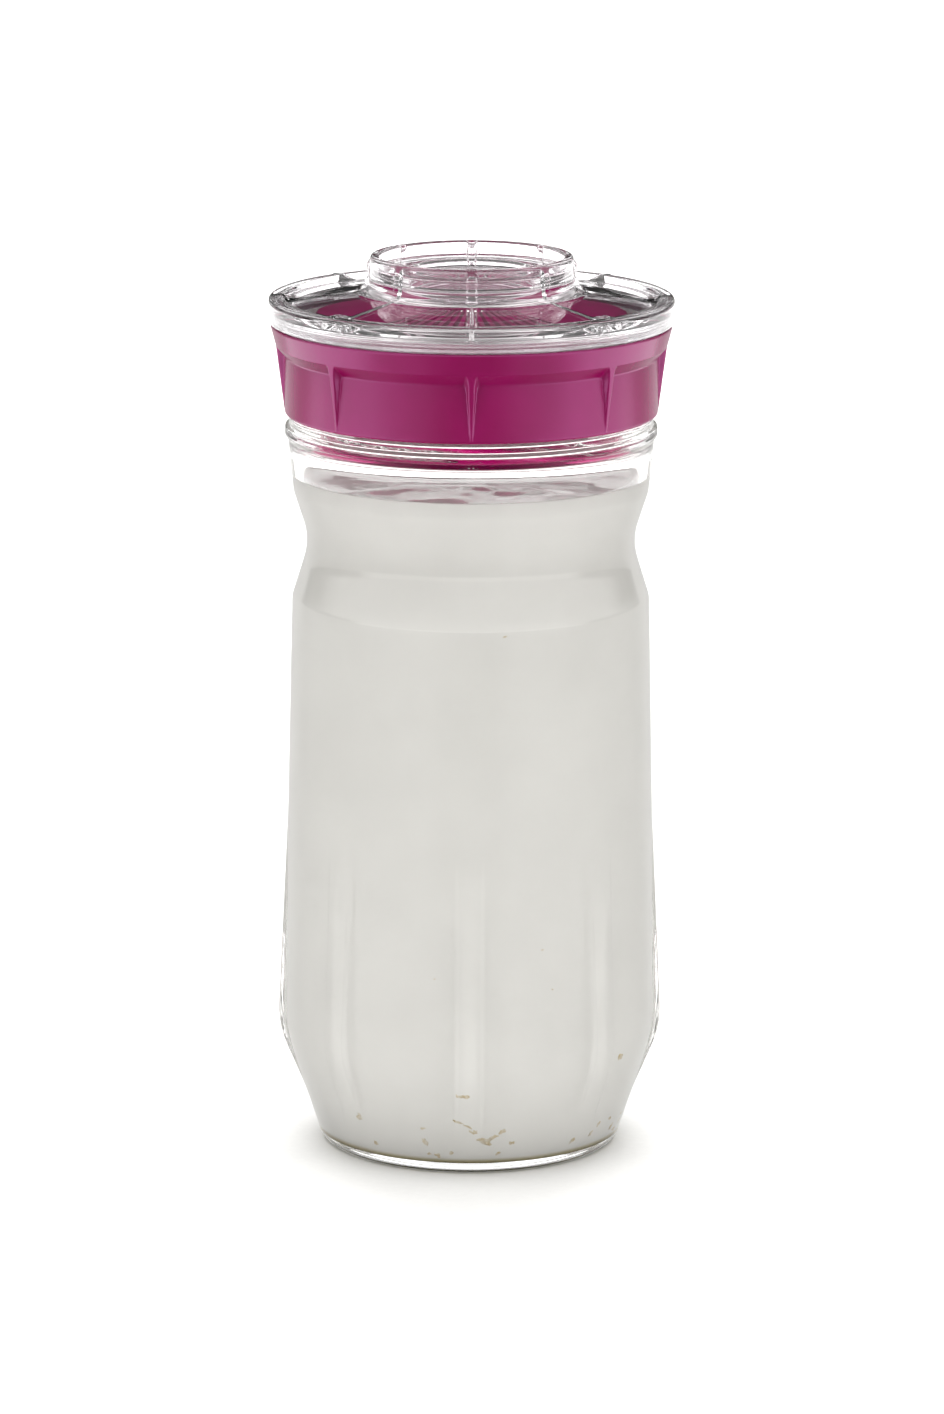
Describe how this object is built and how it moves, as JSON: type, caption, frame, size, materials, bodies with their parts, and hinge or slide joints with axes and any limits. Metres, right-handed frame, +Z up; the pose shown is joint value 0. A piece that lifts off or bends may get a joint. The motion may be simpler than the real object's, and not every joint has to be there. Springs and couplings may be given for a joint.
{
  "type": "kefir jar",
  "caption": "Ribbed glass jar for fermenting kefir, filled, with a screw-on coloured collar that clamps a strainer and carries a clear cover with a cup.",
  "frame": {"origin": "middle of the base, on the surface that the jar stands on", "axes": "+Z up along the jar's axis, -Y towards the viewer of the picture, +X to the viewer's right"},
  "size_m": [0.1, 0.1, 0.2239],
  "materials": {
    "clear_glass": "clear pressed soda-lime glass, fire polished",
    "kefir": "milky cultured drink, wet and opaque",
    "silicone": "translucent white silicone",
    "magenta_strainer": "moulded polypropylene, satin, magenta",
    "magenta_collar": "moulded polypropylene, satin, magenta",
    "clear_plastic": "clear moulded styrene plastic, polished"
  },
  "bodies": {
    "jar": {"glass_jar": "clear_glass", "kefir": "kefir"},
    "sieve": {"strainer": "magenta_strainer", "jar_gasket": "silicone"},
    "collar": {"screw_collar": "magenta_collar"},
    "cover_seal": {"cover_gasket": "silicone"},
    "cover": {"top_cover": "clear_plastic"}
  },
  "joints": [
    {"name": "lid_lift", "type": "slide", "parent": "jar", "child": "sieve", "axis": [0, 0, 1], "range_m": [0, 0.0105]},
    {"name": "collar_turn", "type": "hinge", "parent": "sieve", "child": "collar", "pos_m": [0, 0, 0.195], "axis": [0, 0, 1], "range_deg": [0, 180]},
    {"name": "cover_lift", "type": "slide", "parent": "collar", "child": "cover_seal", "axis": [0, 0, 1], "range_m": [0, 0.04]},
    {"name": "cover_turn", "type": "hinge", "parent": "cover_seal", "child": "cover", "pos_m": [0, 0, 0.21], "axis": [0, 0, 1], "range_deg": [0, 45]}
  ],
  "couplings": [
    {"joint": "lid_lift", "follows": "collar_turn", "m_per_rad": 0.0031831}
  ]
}
